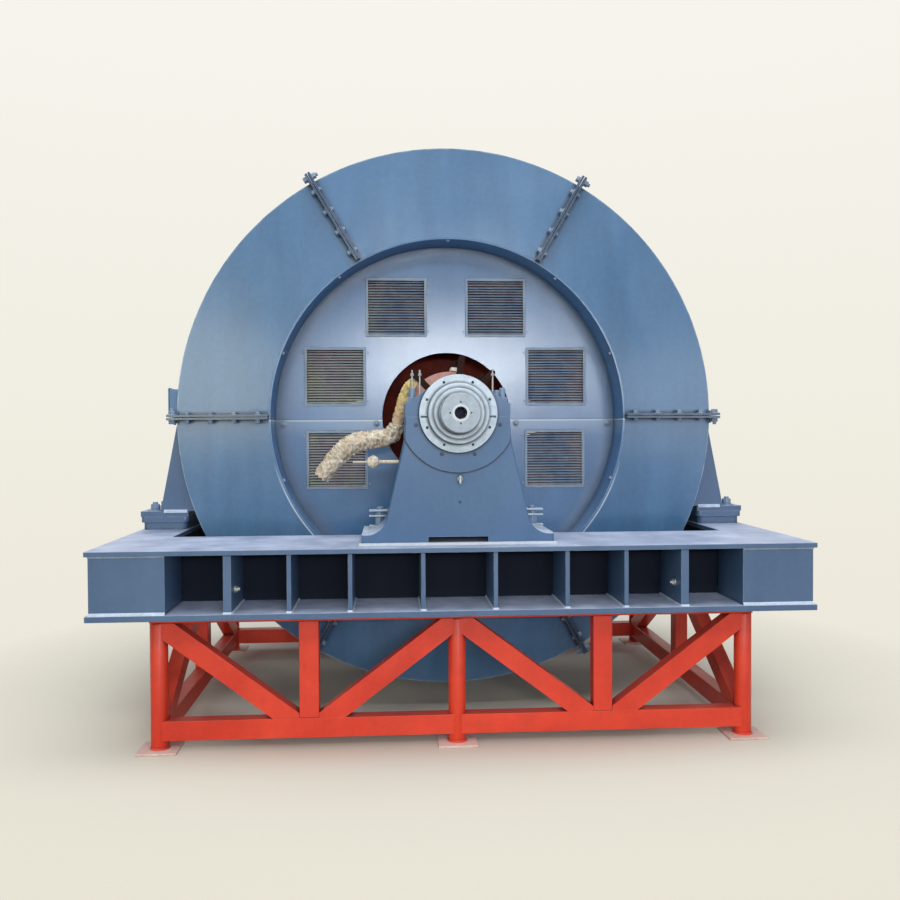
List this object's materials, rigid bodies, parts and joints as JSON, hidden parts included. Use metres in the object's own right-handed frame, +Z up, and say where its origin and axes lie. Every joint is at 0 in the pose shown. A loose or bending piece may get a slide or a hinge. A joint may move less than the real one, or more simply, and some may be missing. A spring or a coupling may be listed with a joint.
{
  "type": "large synchronous motor with pedestal bearings",
  "caption": "Large low-speed synchronous motor with a big round air-shielded stator, pedestal sleeve bearings, an open-bay bedplate and a trussed tubular stand.",
  "frame": {"origin": "on the floor, under the middle of the machine's overall box, below the shaft axis", "axes": "+X across the machine to the right as seen from the free end, +Y along the shaft towards the drive end, +Z up"},
  "size_m": [3.6, 3.1, 3.255],
  "materials": {
    "blue_paint": "satin blue-grey machine enamel, a little uneven, with light scuffs",
    "stand_paint": "bright orange-red enamel, satin",
    "foot_plate": "thinly painted steel plate, pale pinkish",
    "core_steel": "laminated steel under red-brown insulating varnish",
    "insulation": "dark red-brown insulating enamel",
    "louvre": "pressed louvre plates, satin grey-blue enamel",
    "bearing_metal": "turned bearing metal",
    "light_steel": "thin pale blue-grey paint over turned steel",
    "machined_steel": "turned steel with a preservative film",
    "slip_ring": "pinkish red insulating enamel over steel rings",
    "brush_metal": "dull cast and plated metal",
    "yellow_sleeve": "padded yellow wrapping, matte",
    "film_wrap": "cream plastic film, wrinkled, semi-matte"
  },
  "bodies": {
    "machine": {"bearing_thermometer": "film_wrap", "bed_corner_boxes": "blue_paint", "bed_cross_plates": "blue_paint", "bed_cross_webs": "blue_paint", "bed_ribs": "blue_paint", "bed_side_plates": "blue_paint", "bed_side_webs": "blue_paint", "brush_gear": "brush_metal", "foot_pads": "blue_paint", "front_bush": "bearing_metal", "front_cap": "blue_paint", "front_cover_lower": "blue_paint", "front_cover_upper": "blue_paint", "front_labyrinth": "light_steel", "front_louvres": "louvre", "front_pedestal": "blue_paint", "front_seal_ring": "light_steel", "front_shield": "blue_paint", "housing_box": "blue_paint", "lead_bundle": "film_wrap", "lead_sleeve": "yellow_sleeve", "pedestal_shims": "light_steel", "rear_bush": "bearing_metal", "rear_cap": "blue_paint", "rear_cover_lower": "blue_paint", "rear_cover_upper": "blue_paint", "rear_labyrinth": "light_steel", "rear_louvres": "louvre", "rear_pedestal": "blue_paint", "rear_seal_ring": "light_steel", "rear_shield": "blue_paint", "stand_bottom_chords": "stand_paint", "stand_braces": "stand_paint", "stand_foot_plates": "foot_plate", "stand_posts": "stand_paint", "stand_side_braces": "stand_paint", "stand_side_chords": "stand_paint", "stand_side_top_chords": "stand_paint", "stand_top_chords": "stand_paint", "stand_uprights": "stand_paint", "stator_core": "core_steel", "stator_feet": "blue_paint", "stator_housing": "blue_paint", "stator_winding": "insulation"},
    "rotor": {"shaft": "machined_steel", "rotor_spider": "insulation", "rotor_poles": "insulation", "slip_rings": "slip_ring"}
  },
  "joints": [
    {"name": "rotor_turn", "type": "hinge", "parent": "machine", "child": "rotor", "pos_m": [0, -0.14, 1.695], "axis": [0, 1, 0], "continuous": true}
  ]
}
